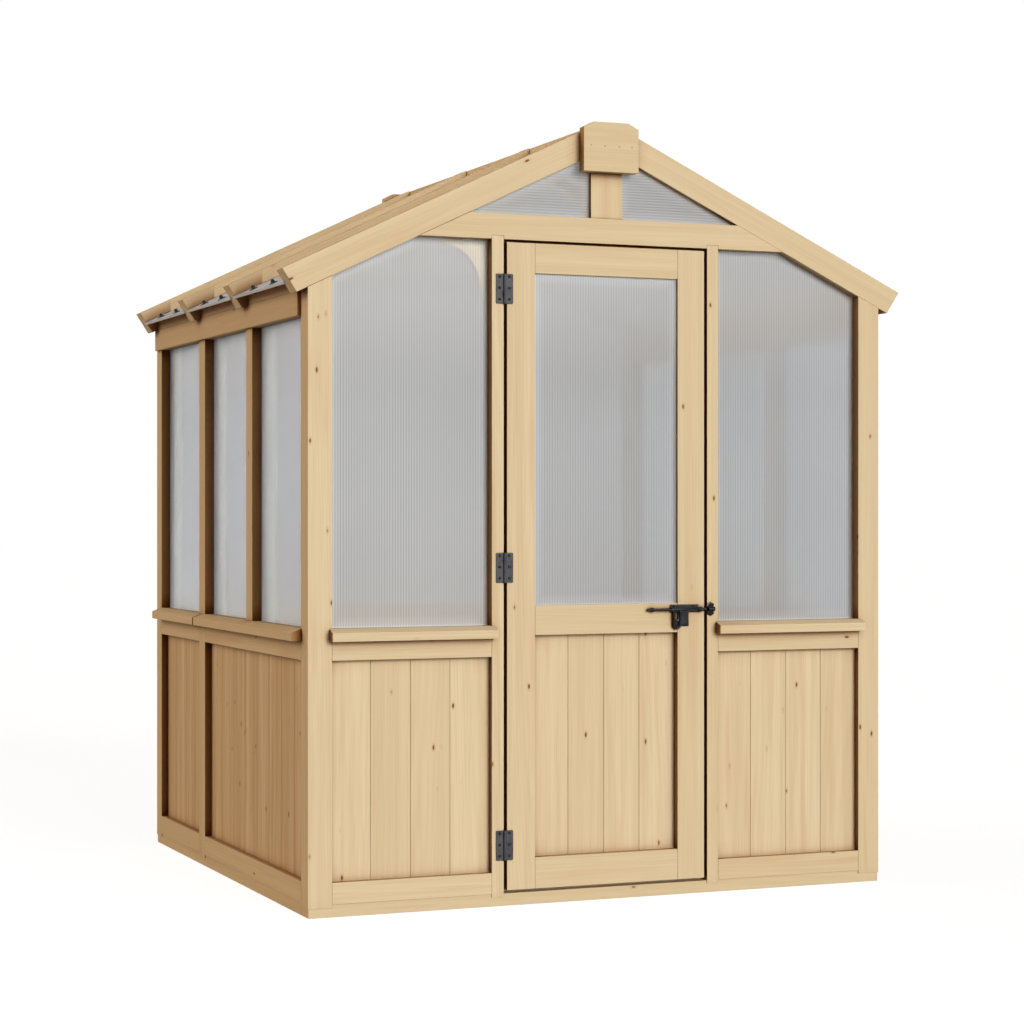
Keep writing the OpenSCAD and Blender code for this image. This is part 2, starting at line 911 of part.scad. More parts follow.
module back_sheets()
  color(clear_sheet)
    mirror([0, 1, 0]) {
      front_sheets();
      centre_sheet_room(0);
    }

module left_sheets()
  color(clear_sheet)
    side_sheet_room(0);

module right_sheets()
  mirror([1, 0, 0])
    left_sheets();

module gable_sheets()
  color(clear_sheet)
    both_ends()
      both_sides()
        gable_sheet_room(0);

// Turns and moves what is drawn round Z to a roof screw's place on the left slope
module at_roof_screws()
  for (b = bays)
    for (side = [-1, 1])
      translate([-roof_screw_x, front_y + (b[0] + b[1] + side * roof_screw_pitch) / 2,
          roof_z(roof_screw_x, roof_sheet_depth)])
        rotate([0, -roof_pitch, 0])
          children();

module roof_sheets_left()
  color(clear_sheet)
    difference() {
      for (b = bays)
        roof_slab(from_front(b[0] - roof_groove + fit, b[1] + roof_groove - fit),
          [roof_sheet_depth, roof_sheet_depth + sheet_t],
          [ridge_t / 2 + fit, half_w + roof_sheet_over]);
      at_roof_screws()
        cylinder(r = roof_screw_r + fit, h = 4 * sheet_t, center = true);
    }

module roof_sheets_right()
  mirror([1, 0, 0])
    roof_sheets_left();

// Door
door_x = [-door_w / 2, door_w / 2];

module door_sheet_room(g)
  span([-stile_in - groove - g, stile_in + groove + g],
    from_front(door_sheet_recess - g, door_sheet_recess + sheet_t + g),
    [door_mid_top - groove - g, door_top_low + groove + g]);

// The boards lie in a rebate that is open at the back of the door
module door_boards_room(g)
  span([-stile_in - door_rebate - g, stile_in + door_rebate + g],
    from_front(door_t - door_board_t, door_t + past),
    [door_low_top - door_rebate - g, door_mid_low + door_rebate + g]);

tenon_y = door_sheet_recess + sheet_t + tenon_gap;
door_rail_zs = [[door_z, door_low_top], [door_mid_low, door_mid_top], [door_top_low, door_top]];

module door_tenons(g)
  for (z = door_rail_zs)
    span([-stile_in - tenon_l - g, stile_in + tenon_l + g],
      from_front(tenon_y - g, tenon_y + tenon_t + g),
      [z[0] + tenon_shoulder - g, z[1] - tenon_shoulder + g]);

module door_stiles()
  color(pale_wood)
    both_sides()
      difference() {
        span([door_x[0], -stile_in], from_front(0, door_t), [door_z, door_top]);
        door_sheet_room(fit);
        door_boards_room(fit);
        door_tenons(fit);
      }

module door_rails()
  color(pale_wood)
    difference() {
      union() {
        for (z = door_rail_zs)
          span([-stile_in, stile_in], from_front(0, door_t), z);
        door_tenons(0);
      }
      door_sheet_room(fit);
      door_boards_room(fit);
    }

module door_boards()
  color(pale_wood)
    translate([-stile_in, front_y + door_t - door_board_t, 0])
      board_row(2 * stile_in, door_board_t, [door_low_top - door_rebate, door_mid_low + door_rebate],
        door_rebate);

module door_sheet()
  color(clear_sheet)
    door_sheet_room(0);

module door_stops()
  color(side_wood) {
    both_sides()
      span([-stud_in, stop_w - stud_in], from_front(door_t + stop_gap, wall_t), [base_t, collar_z]);
    span([stop_w - stud_in + fit, stud_in - stop_w - fit], from_front(door_t + stop_gap, wall_t),
      [collar_z - stop_w, collar_z]);
  }

// Hinges
module knuckle_stack(first)
  for (i = [first:2:knuckles - 1])
    translate([hinge_x, hinge_y, i * knuckle_l + knuckle_gap / 2])
      cylinder(r = knuckle_r, h = knuckle_l - knuckle_gap);

// The plate of a leaf, from the pin out to its width, with its screw holes
module leaf_plate(width, first)
  difference() {
    union() {
      translate([leaf_gap + knuckle_r, -leaf_t, 0])
        cube([width - leaf_gap - knuckle_r, leaf_t, hinge_h]);
      for (i = [first:2:knuckles - 1])
        translate([0, -leaf_t, i * knuckle_l + knuckle_gap / 2])
          cube([width / 2, leaf_t, knuckle_l - knuckle_gap]);
    }
    leaf_screws(width)
      cylinder(r = screw_hole_r, h = 3 * leaf_t, center = true);
  }

// Puts what is drawn round Z on the face of a leaf, at its three screws
module leaf_screws(width)
  for (i = [-1:1])
    translate([(width + knuckle_r) / 2, -leaf_t, hinge_h / 2 + screw_lift + i * screw_pitch])
      rotate([90, 0, 0])
        children();

module at_hinges()
  for (z = hinge_zs)
    translate([0, 0, z - hinge_h / 2])
      children();

module hinge_leaf(side, width, first)
  at_hinges()
    difference() {
      union() {
        translate([hinge_x, front_y, 0])
          scale([side, 1, 1])
            leaf_plate(width, first);
        knuckle_stack(first);
      }
      translate([hinge_x, hinge_y, -past])
        cylinder(r = pin_r + pin_play, h = hinge_h + 2 * past);
    }

module frame_hinge_leaves()
  color(grey_steel)
    hinge_leaf(-1, frame_leaf_w, 0);

module door_hinge_leaves()
  color(grey_steel)
    hinge_leaf(1, door_leaf_w, 1);

module hinge_pins()
  color(grey_steel)
    at_hinges()
      translate([hinge_x, hinge_y, 0]) {
        cylinder(r = pin_r, h = hinge_h);
        for (z = [-pin_head_t, hinge_h])
          translate([0, 0, z])
            cylinder(r = pin_r + pin_head_edge, h = pin_head_t);
      }

// A screw with a domed head, drawn with the seat of its head at Z 0
module small_screw(length)
  rotate_extrude()
    polygon([[0, -length], [screw_r, -length + screw_r], [screw_r, 0], [screw_head_r, 0],
      [screw_head_r, screw_head_h * 0.35], [screw_head_r * 0.7, screw_head_h * 0.85], [0, screw_head_h]]);

module keeper_screws_at()
  for (side = [-1, 1])
    translate([keeper_x + keeper_w / 2, front_y - latch_t, bolt_mid_z + side * keeper_screw_z])
      rotate([90, 0, 0])
        children();

module latch_screws_at()
  for (p = latch_screws)
    translate([p[0], front_y - latch_t, p[1]])
      rotate([90, 0, 0])
        children();

module frame_screws()
  color(grey_steel) {
    at_hinges()
      translate([hinge_x, front_y, 0])
        mirror([1, 0, 0])
          leaf_screws(frame_leaf_w)
            small_screw(screw_l);
    keeper_screws_at()
      small_screw(screw_l);
  }

module door_screws()
  color(grey_steel) {
    at_hinges()
      translate([hinge_x, front_y, 0])
        leaf_screws(door_leaf_w)
          small_screw(screw_l);
    latch_screws_at()
      small_screw(latch_screw_l);
  }

// Latch. The bolt is drawn back at rest, and slides towards +X into its keeper.
module bolt_round(r, x)
  translate([x[0], bolt_mid_y, bolt_mid_z])
    rotate([0, 90, 0])
      cylinder(r = r, h = x[1] - x[0]);

module latch_plate()
  color(black_steel)
    difference() {
      union() {
        span([latch_x, latch_end], [front_y - latch_t, front_y], [latch_low, latch_top]);
        span([limb_x, limb_x + limb_w], [front_y - latch_t, front_y], [limb_z, latch_low + weld]);
        difference() {
          bolt_round(barrel_r, [latch_x, latch_end]);
          // The flap handle hangs out of the barrel through this open quarter
          span([latch_x - past, latch_end - weld],
            [bolt_mid_y - 2 * barrel_r, bolt_mid_y + flap_t / 2 + flap_gap],
            [bolt_mid_z - 2 * barrel_r, bolt_mid_z]);
        }
        span([latch_x, latch_end + guide_l], [bolt_mid_y + bolt_r, front_y - latch_t + weld],
          [bolt_mid_z - barrel_r / 2, bolt_mid_z + barrel_r]);
        bolt_round(guide_r, [latch_end, latch_end + guide_l]);
        translate([flap_mid_x, front_y, flap_eye_z])
          rotate([90, 0, 0]) {
            cylinder(r = stub_r, h = bolt_y - flap_t / 2 - flap_gap);
            cylinder(r = stub_base_r, h = latch_t);
          }
      }
      bolt_round(bolt_r + bolt_play, [latch_x - past, latch_end + guide_l + past]);
      latch_screws_at()
        cylinder(r = screw_hole_r, h = 4 * latch_t, center = true);
      // Cut away what would pass the door's face
      span([latch_x - past, latch_end + past], [front_y, front_y + past],
        [limb_z - past, latch_top + past]);
    }

module flap_outline()
  difference() {
    translate([flap_mid_x, flap_round_z]) {
      translate([-flap_w / 2, 0])
        square([flap_w, bolt_mid_z - flap_round_z]);
      circle(r = flap_w / 2);
    }
    translate([flap_mid_x - flap_slot_w / 2, flap_slot_z[0]])
      square([flap_slot_w, flap_slot_z[1] - flap_slot_z[0]]);
  }

module latch_bolt()
  color(black_steel)
    difference() {
      union() {
        bolt_round(bolt_r, bolt_x);
        bolt_round(barrel_r, [bolt_x[0] + rear_ring[0], bolt_x[0] + rear_ring[1]]);
        along_y([bolt_mid_y - flap_t / 2, bolt_mid_y + flap_t / 2])
          flap_outline();
      }
      translate([flap_mid_x, front_y, flap_eye_z])
        rotate([90, 0, 0])
          cylinder(r = eye_r, h = 2 * bolt_y);
    }

module latch_keeper()
  color(black_steel)
    difference() {
      union() {
        along_y([front_y - latch_t, front_y])
          translate([keeper_x, bolt_mid_z - keeper_h / 2])
            polygon([[keeper_w / 2, 0], [keeper_w, keeper_w / 4], [keeper_w, keeper_h - keeper_w / 4],
              [keeper_w / 2, keeper_h], [0, keeper_h - keeper_w / 4], [0, keeper_w / 4]]);
        bolt_round(barrel_r, keeper_loop_x);
        span(keeper_loop_x, [bolt_mid_y + bolt_r, front_y - latch_t + weld],
          [bolt_mid_z - barrel_r, bolt_mid_z + barrel_r]);
      }
      bolt_round(bolt_r + 2 * bolt_play, [keeper_x - past, keeper_x + keeper_w + past]);
      keeper_screws_at()
        cylinder(r = screw_hole_r, h = 4 * latch_t, center = true);
      span([keeper_x - past, keeper_x + keeper_w + past], [front_y, front_y + past],
        [bolt_mid_z - keeper_h, bolt_mid_z + keeper_h]);
    }

// Fasteners of roof and walls
module roof_screws()
  color(black_steel)
    both_sides()
      at_roof_screws() {
        rotate_extrude()
          polygon([[0, seat], [washer_r, seat], [washer_r, washer_t * 0.3], [washer_r * 0.8, washer_t * 0.8],
            [roof_head_r, washer_t], [roof_head_r * 0.92, washer_t + roof_head_h * 0.45],
            [roof_head_r * 0.6, washer_t + roof_head_h * 0.88], [0, washer_t + roof_head_h]]);
        translate([0, 0, -sheet_t - roof_nut_h - roof_screw_tail])
          cylinder(r = roof_screw_r, h = sheet_t + roof_nut_h + roof_screw_tail + washer_t);
        translate([0, 0, -sheet_t - roof_nut_h - seat])
          cylinder(r = 2 * roof_screw_r, h = roof_nut_h, $fn = 6);
      }

module wall_bolts()
  color(grey_steel)
    both_sides()
      translate([wall_bolt_in - half_w, front_y, wall_bolt_z])
        rotate([-90, 0, 0]) {
          translate([0, 0, joint_a])
            cylinder(r = wall_bolt_r, h = joint_b - joint_a);
          translate([0, 0, joint_a - wall_bolt_head])
            cylinder(r = 2 * wall_bolt_r, h = wall_bolt_head, $fn = 6);
          translate([0, 0, joint_b])
            cylinder(r = 2 * wall_bolt_r, h = wall_bolt_nut, $fn = 6);
        }

base_front();
base_back();
base_left();
base_right();
post_front_left();
post_front_right();
post_back_left();
post_back_right();
door_stud_left();
door_stud_right();
back_studs();
left_studs();
right_studs();
front_rails();
back_rails();
left_rails();
right_rails();
front_sills();
back_sills();
left_sills();
right_sills();
front_boards();
back_boards();
left_boards();
right_boards();
eave_beam_left();
eave_beam_right();
eave_fillers();
collar_beam_front();
collar_beam_back();
king_posts();
ridge_boards();
front_rafters();
second_rafters();
third_rafters();
back_rafters();
apex_plates();
front_sheets();
back_sheets();
left_sheets();
right_sheets();
gable_sheets();
roof_sheets_left();
roof_sheets_right();
knee_brace();
door_stops();
door_stiles();
door_rails();
door_boards();
door_sheet();
frame_hinge_leaves();
door_hinge_leaves();
hinge_pins();
frame_screws();
door_screws();
latch_plate();
latch_bolt();
latch_keeper();
roof_screws();
wall_bolts();
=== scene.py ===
"""Looks of the wooden greenhouse: timber, twin-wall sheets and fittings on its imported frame."""
import json
import math
import random

import bmesh
import bpy
from mathutils import Matrix, Vector
from mathutils.geometry import delaunay_2d_cdt


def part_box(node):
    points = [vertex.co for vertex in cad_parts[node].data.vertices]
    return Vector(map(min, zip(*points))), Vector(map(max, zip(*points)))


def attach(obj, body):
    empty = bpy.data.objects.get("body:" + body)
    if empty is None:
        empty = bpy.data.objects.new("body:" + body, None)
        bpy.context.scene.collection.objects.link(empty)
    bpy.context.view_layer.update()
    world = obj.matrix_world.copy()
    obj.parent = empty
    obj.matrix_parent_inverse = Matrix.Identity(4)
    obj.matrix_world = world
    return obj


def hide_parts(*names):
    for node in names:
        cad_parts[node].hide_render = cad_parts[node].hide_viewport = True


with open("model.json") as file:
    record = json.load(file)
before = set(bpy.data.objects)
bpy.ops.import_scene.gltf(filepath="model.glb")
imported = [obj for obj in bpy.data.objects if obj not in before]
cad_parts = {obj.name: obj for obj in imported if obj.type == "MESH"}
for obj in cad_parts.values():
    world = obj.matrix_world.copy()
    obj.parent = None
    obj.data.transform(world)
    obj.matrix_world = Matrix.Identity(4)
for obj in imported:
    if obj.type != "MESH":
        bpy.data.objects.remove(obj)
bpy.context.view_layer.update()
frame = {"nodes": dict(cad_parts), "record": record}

MM = 0.001
DIRECTIONS = {"x": Vector((1, 0, 0)), "y": Vector((0, 1, 0)), "z": Vector((0, 0, 1))}
ROOF_PITCH = math.radians(25.5)
BRACE_SLANT = 0.75
# The ribs of a twin-wall sheet, the sealed border round its face, and the rim inside that, lightened
# with painted light
FLUTE_PITCH = 7.8 * MM
SEALED_BORDER = 15 * MM
RIM = 25 * MM
# Where the outside begins, as distances from the middle of the plan
SIDE_SHEET_FACE = 842 * MM, 846 * MM
FRONT_SHEET_FACE = 775 * MM, 779 * MM
# Heights over which the painted shade in corners sets in above the ground, and over which the painted
# light on the room's timber ends
PAINTED_SHADE_START = 15 * MM, 60 * MM
ROOM_TOP = 1.6, 1.7
# Heights over which painted light makes the sheets lighter, and over which most of that goes again in
# the gables
LIGHT_START = 1.4, 1.75
GABLE_START = 1.84, 1.86
# The height of the bolt and its keeper, where the screws have flat heads
LATCH_HEIGHTS = 0.7, 0.85
# How much painted shade darkens the upright faces of timber under or behind other timber
LEE_SHADE_SHARES = {"second_rafters": 0.35, "third_rafters": 0.35, "back_rafters": 0.35,
             "eave_beam_left": 0.25, "eave_beam_right": 0.25}
# A face looks in a direction where its normal has this much of it
FACING = 0.9


class Wire:
    """A socket of a finish, for maths written as Python expressions."""

    def __init__(self, finish, socket):
        self.finish, self.socket = finish, socket

    def maths(self, operation, *others):
        inputs = dict(enumerate((self, *others)))
        return self.finish.add("Math", {"operation": operation}, inputs)

    def __add__(self, other):
        return self.maths("ADD", other)

    def __mul__(self, other):
        return self.maths("MULTIPLY", other)

    def __sub__(self, other):
        return self.maths("SUBTRACT", other)

    def __rsub__(self, other):
        return self.finish.add("Math", {"operation": "SUBTRACT"}, {0: other, 1: self})

    __radd__, __rmul__ = __add__, __mul__

    def ramp(self, low, high, at_low=0.0, at_high=1.0):
        """A smooth step from at_low, up to low, to at_high, from high on."""
        return self.finish.add("MapRange", {"interpolation_type": "SMOOTHSTEP"}, {
            "Value": self, "From Min": low, "From Max": high, "To Min": at_low, "To Max": at_high})


class Finish:
    """A material, or the world, built node by node."""

    def __init__(self, name, kind="materials"):
        self.made = getattr(bpy.data, kind).new(name)
        self.made.use_nodes = True
        self.nodes = self.made.node_tree.nodes
        self.links = self.made.node_tree.links
        self.nodes.clear()

    def add(self, kind, settings=None, inputs=None, out=0):
        """Adds a node and returns one of its outputs."""
        made = self.nodes.new("ShaderNode" + kind)
        for name, value in (settings or {}).items():
            setattr(made, name, value)
        for name, value in (inputs or {}).items():
            socket = made.inputs[name]
            if isinstance(value, Wire):
                self.links.new(value.socket, socket)
            else:
                socket.default_value = value
        return Wire(self, made.outputs[out])

    def mix(self, share, a, b, blend="MIX"):
        """Mixes two colours."""
        return self.add("Mix", {"data_type": "RGBA", "blend_type": blend},
                        {0: share, 6: a, 7: b}, out=2)

    def blend(self, share, a, b):
        """Mixes two shaders."""
        return self.add("MixShader", {}, {0: share, 1: a, 2: b})

    def point(self):
        return self.add("TexCoord", out="Object")

    def part(self, vector, axis):
        """One coordinate of a vector."""
        return self.add("SeparateXYZ", {}, {0: vector}, axis)

    def own(self, attribute, out="Fac"):
        """An attribute of the piece's own mesh."""
        return self.add("Attribute", {"attribute_name": attribute}, out=out)

    def openness(self, reach):
        """1 on an open face, and less in a corner or gap within reach."""
        return self.add("AmbientOcclusion", {"samples": 6}, {"Distance": reach}, out="AO")

    def stretch(self, vector, scale, shift=(0, 0, 0)):
        return self.add("Mapping", {}, {"Vector": vector, "Scale": scale, "Location": shift})

    def noise(self, vector, scale, detail=2.0, roughness=0.5):
        return self.add("TexNoise", {}, {"Vector": vector, "Scale": scale, "Detail": detail,
                                         "Roughness": roughness})

    def bump(self, height, strength, distance):
        return self.add("Bump", {}, {"Height": height, "Strength": strength, "Distance": distance})

    def surface(self, **sockets):
        """Ends the finish in a Principled surface. Names have _ for spaces."""
        inputs = {name.replace("_", " "): value for name, value in sockets.items()}
        return self.show(self.add("BsdfPrincipled", {}, inputs))

    def show(self, shader, end="OutputMaterial"):
        last = self.nodes.new("ShaderNode" + end)
        self.links.new(shader.socket, last.inputs["Surface"])
        return self.made


def colour(r, g, b):
    """Linear colour of a display colour in steps of 255."""
    return tuple(((c / 255 + 0.055) / 1.055) ** 2.4 for c in (r, g, b)) + (1.0,)


def timber_finish(name, pale, deep, knots, darkest_openness, unshaded_openness, shade_depth, joints):
    """Planed softwood. Each board carries its own grain coordinates and its own tint. Painted shade in
    corners is deepest where they are no more open than darkest_openness and ends where they are as open
    as unshaded_openness; it is as deep as shade_depth, and the narrowest joints have the share joints of
    it."""
    blush_colour, room_light_colour = colour(219, 181, 138), (0.93, 0.96, 1, 1)
    ring_colour, core_colour = colour(200, 152, 100), colour(118, 66, 32)
    painted_shade_colour, lee_shade_colour = (0.32, 0.15, 0.05, 1), (0.58, 0.4, 0.25, 1)
    wood = Finish(name)
    grain = wood.own("grain", "Vector")
    tint = wood.own("tint")
    # Growth rings round a heart that lies beside the board
    waver = wood.noise(wood.stretch(grain, (0.9, 6, 6)), 1.0, 2)
    across = wood.add("VectorMath", {"operation": "LENGTH"},
                      {0: wood.stretch(grain, (0.015, 1, 1))}, out="Value")
    rings = ((across * 210 + waver * 5) * math.tau).maths("SINE") * 0.5 + 0.5
    fibres = wood.noise(wood.stretch(grain, (5, 420, 420)), 1.0, 3, 0.6)
    bands = wood.noise(wood.stretch(grain, (0.7, 34, 34), (3, 1, 2)), 1.0, 3)
    tone = rings * 0.05 + fibres * 0.45 + bands * 0.5
    shade = wood.mix(tone.ramp(0.26, 0.74), deep, pale)
    # Long rosy stretches, and a tint of each board's own
    blush = wood.noise(wood.stretch(grain, (1.6, 22, 22), (7, 4, 1)), 1.0, 2)
    shade = wood.mix(blush.ramp(0.54, 0.74, 0.0, 0.5), shade, blush_colour)
    shade = wood.mix(tint.ramp(0, 1, 0.0, 0.35), shade, deep)
    # Knots, cut nearer to or further from their middle
    wobble = wood.noise(wood.stretch(grain, (80, 130, 80)), 1.0, 2)
    cell = wood.add("TexVoronoi", {}, {"Vector": wood.stretch(grain, (9, 20, 20), (1, 5, 2)),
                                       "Scale": 1.0, "Randomness": 1.0})
    lot = wood.add("SeparateColor", {}, {"Color": Wire(wood, cell.socket.node.outputs["Color"])})
    chosen = lot.ramp(1 - knots, 1 - knots + 0.01)
    spread = cell + wobble * 0.04 - 0.02
    core = spread.ramp(0.045, 0.075, 1.0, 0.0) * chosen
    ring = spread.ramp(0.06, 0.15, 1.0, 0.0) * chosen
    shade = wood.mix(ring * 0.4, shade, ring_colour)
    shade = wood.mix(core * 0.9, shade, core_colour)
    # Painted shade, warm and dark, in corners, joints and narrow gaps, outside of the sheets' planes
    # alone
    place = wood.point()
    level = wood.part(place, "Z")
    out_x = wood.part(place, "X").maths("ABSOLUTE").ramp(*SIDE_SHEET_FACE)
    out_y = wood.part(place, "Y").maths("ABSOLUTE").ramp(*FRONT_SHEET_FACE)
    outside = out_x.maths("MAXIMUM", out_y)
    hollow = wood.openness(50 * MM)
    painted_shade = hollow.ramp(darkest_openness, unshaded_openness, shade_depth, 0.0) * outside
    painted_shade = painted_shade * hollow.ramp(0.1, 0.4, joints, 1.0) * level.ramp(*PAINTED_SHADE_START)
    shade = wood.mix(painted_shade, shade, painted_shade_colour, "MULTIPLY")
    # Painted shade on upright faces that stand behind or under other timber, and in the walls' reveals
    shade = wood.mix(wood.own("lee_shade"), shade, lee_shade_colour, "MULTIPLY")
    # Painted light: the room's side is paler and cooler, as though more brightly lit
    inside = (1 - outside) * level.ramp(*ROOM_TOP, 1.0, 0.0)
    shade = wood.mix(inside * 0.3, shade, room_light_colour)
    height = fibres * 0.7 + rings * 0.15 - core * 0.3
    return wood.surface(Base_Color=shade, Roughness=fibres.ramp(0.2, 0.8, 0.6, 0.72),
                        Specular_IOR_Level=0.06, Normal=wood.bump(height, 0.2, 0.0005))


def sheet_finish(name, pale, deep, clearness, passing, through=0.4):
    """Twin-wall plastic: hazy, so that what lies behind shows blurred, with fine ribs. Each face is
    clear for the share through. Lamps light what is behind it as through a clear pane, of which each
    face lets the share passing through."""
    pale_lit, deep_lit, strip_colour = (0.95, 0.98, 1, 1), (0.8, 0.83, 0.86, 1), (0.8, 0.91, 1, 1)
    plastic = Finish(name)
    flute = plastic.own("flute")
    ribs = (flute * (math.tau / FLUTE_PITCH)).maths("COSINE") * 0.5 + 0.5
    drift = plastic.noise(plastic.point(), 2.5, 2)
    tone = ribs.ramp(0.15, 0.95, 1.0, 0.0) * 0.8 + drift * 0.2
    # Painted light: lighter at the sealed border, at the rim inside it and at the top
    edge = plastic.own("edge")
    height = plastic.part(plastic.point(), "Z")
    top = height.ramp(*LIGHT_START) * height.ramp(*GABLE_START, 1.0, 0.15)
    lit = plastic.own("rim") * 0.35 + top * 0.33
    lit = (lit + edge * 0.7).maths("MINIMUM", 1.0)
    light = plastic.mix(lit, pale, pale_lit)
    dark = plastic.mix(lit, deep, deep_lit)
    shade = plastic.mix(tone, dark, light)
    # Painted light: a lighter, cooler and less clear strip at the side nearer to the back wall
    strip = plastic.own("span").ramp(0.64, 0.74)
    shade = plastic.mix(strip * 0.95, shade, strip_colour)
    haze = plastic.add("BsdfPrincipled", {}, {"Base Color": shade, "Roughness": 0.55, "IOR": 1.45,
                                              "Transmission Weight": clearness})
    cool = plastic.add("BsdfTransparent", {}, {"Color": (0.935, 0.97, 1.0, 1)})
    clearer = edge.ramp(0.0, 0.8, through, 0.0) * (1 - top * 0.4) * (1 - strip * 0.8)
    haze = plastic.blend(clearer, haze, cool)
    milky = plastic.add("BsdfDiffuse", {}, {"Color": pale})
    haze = plastic.blend(edge.ramp(0.3, 1.0), haze, milky)
    clear = plastic.add("BsdfTransparent", {}, {"Color": (passing, passing, passing, 1)})
    shadow = plastic.add("LightPath", out="Is Shadow Ray")
    return plastic.show(plastic.blend(shadow, haze, clear))


def metal_finish(name, pale, deep, roughness, gloss, metallic=0.0):
    """Plated or powder-coated steel, a little rubbed and mottled, with painted shade in its recesses."""
    painted_recess_shade = (0.004, 0.004, 0.004, 1)
    metal = Finish(name)
    place = metal.point()
    mottle = metal.noise(place, 160, 4, 0.6)
    rubbed = metal.noise(metal.stretch(place, (1, 1, 1), (4, 2, 1)), 35, 3)
    shade = metal.mix((mottle * 0.6 + rubbed * 0.4).ramp(0.35, 0.65), deep, pale)
    # Painted shade: near black in recesses and narrow gaps
    recess = metal.openness(6 * MM)
    shade = metal.mix(recess.ramp(0.35, 0.85, 0.9, 0.0), shade, painted_recess_shade)
    grit = metal.noise(place, 900, 2)
    return metal.surface(Base_Color=shade, Metallic=metallic, Specular_IOR_Level=gloss,
                         Roughness=mottle.ramp(0.3, 0.7, roughness, roughness + 0.14),
                         Normal=metal.bump(grit, 0.15, 0.0002))


def floor_finish():
    """Pale floor that the camera sees as white where no shadow falls."""
    floor = Finish("studio_floor")
    seen = seen_rays(floor)
    matt = floor.add("BsdfDiffuse", {}, {"Color": (0.25, 0.25, 0.25, 1)})
    glow = floor.add("Emission", {}, {"Color": (1, 1, 1, 1), "Strength": seen * 0.915})
    return floor.show(floor.add("AddShader", {}, {0: matt, 1: glow}))


def seen_rays(finish):
    """1 for rays that the camera sees directly or on a gloss, and less through plastic."""
    total = finish.add("LightPath", out="Is Camera Ray")
    total = total + finish.add("LightPath", out="Is Glossy Ray")
    total = total + finish.add("LightPath", out="Is Transmission Ray") * 0.45
    straight = finish.add("LightPath", out="Diffuse Depth").maths("LESS_THAN", 0.5)
    return total.maths("MINIMUM", 1.0) * straight


TIMBER = timber_finish("pale_timber", colour(238, 216, 177), colour(220, 195, 152), knots=0.45,
                       darkest_openness=0.42, unshaded_openness=0.93, shade_depth=0.95, joints=1.0)
BOARDS = timber_finish("pale_boards", colour(240, 219, 181), colour(220, 194, 152), knots=0.8,
                       darkest_openness=0.2, unshaded_openness=0.95, shade_depth=0.8, joints=0.35)
SIDE_BOARDS = timber_finish("streaky_boards", colour(246, 222, 180), colour(202, 168, 124), knots=0.8,
                            darkest_openness=0.2, unshaded_openness=0.95, shade_depth=0.8, joints=0.35)
PLASTIC = sheet_finish("twin_wall_plastic", colour(217, 214, 212), colour(160, 158, 156),
                       clearness=0.6, passing=0.85)
# The side walls' copy of the plastic is bluer, to cancel the warm fill light that falls on them
SIDE_PLASTIC = sheet_finish("twin_wall_side_plastic", colour(225, 234, 246), colour(192, 199, 210),
                            clearness=0.88, passing=0.15)
ROOF_PLASTIC = sheet_finish("twin_wall_roof_plastic", colour(250, 251, 253), colour(218, 221, 226),
                            clearness=0.5, passing=0.15, through=0.12)
PLATED = metal_finish("plated_steel", colour(74, 74, 76), colour(50, 50, 53), roughness=0.42, gloss=0.25,
                      metallic=0.1)
NAIL = metal_finish("pale_nail", colour(205, 190, 162), colour(170, 152, 122), roughness=0.5, gloss=0.3)
SLOT_SHADE = metal_finish("slot_shade", colour(12, 12, 13), colour(5, 5, 6), roughness=0.7, gloss=0.0)
COATED = metal_finish("dark_plate_coat", colour(44, 45, 48), colour(30, 31, 34), roughness=0.3,
                      gloss=0.15)
BLACK = metal_finish("black_coat", colour(16, 16, 19), colour(7, 7, 9), roughness=0.08, gloss=0.22)


def islands(mesh):
    """The solids of a bmesh, each as a list of its vertices."""
    left, found = set(mesh.verts), []
    for start in mesh.verts:
        if start not in left:
            continue
        left.discard(start)
        group, frontier = [start], [start]
        while frontier:
            vertex = frontier.pop()
            for link in vertex.link_edges:
                other = link.other_vert(vertex)
                if other in left:
                    left.discard(other)
                    group.append(other)
                    frontier.append(other)
        found.append(group)
    return found


def centre_of(solid):
    """The mean place of a solid's vertices."""
    return sum((vertex.co for vertex in solid), Vector()) / len(solid)


def clean_copy(node):
    """A node's solids with their loose triangles merged into whole faces."""
    mesh = bmesh.new()
    mesh.from_mesh(frame["nodes"][node].data)
    bmesh.ops.remove_doubles(mesh, verts=mesh.verts, dist=2e-6)
    bmesh.ops.dissolve_limit(mesh, angle_limit=math.radians(0.5), verts=mesh.verts, edges=mesh.edges)
    return mesh


def soften(mesh, width, segments=2, least_length=6 * MM, least_face=3.6 * MM, turn=25):
    """Rounds the outer edges that turn by more than turn degrees between two faces that are wider
    than least_face or broad enough for it."""
    broad = 20 * MM * 20 * MM
    chosen = []
    for edge in mesh.edges:
        if len(edge.link_faces) != 2 or edge.calc_length() < least_length or not edge.is_convex:
            continue
        if edge.calc_face_angle(0) < math.radians(turn):
            continue
        if all(face.calc_area() / edge.calc_length() > least_face or face.calc_area() > broad
               for face in edge.link_faces):
            chosen.append(edge)
    bmesh.ops.bevel(mesh, geom=chosen, offset=width, offset_type="OFFSET", segments=segments,
                    profile=0.5, affect="EDGES", clamp_overlap=False, material=-1)
    mend(mesh)


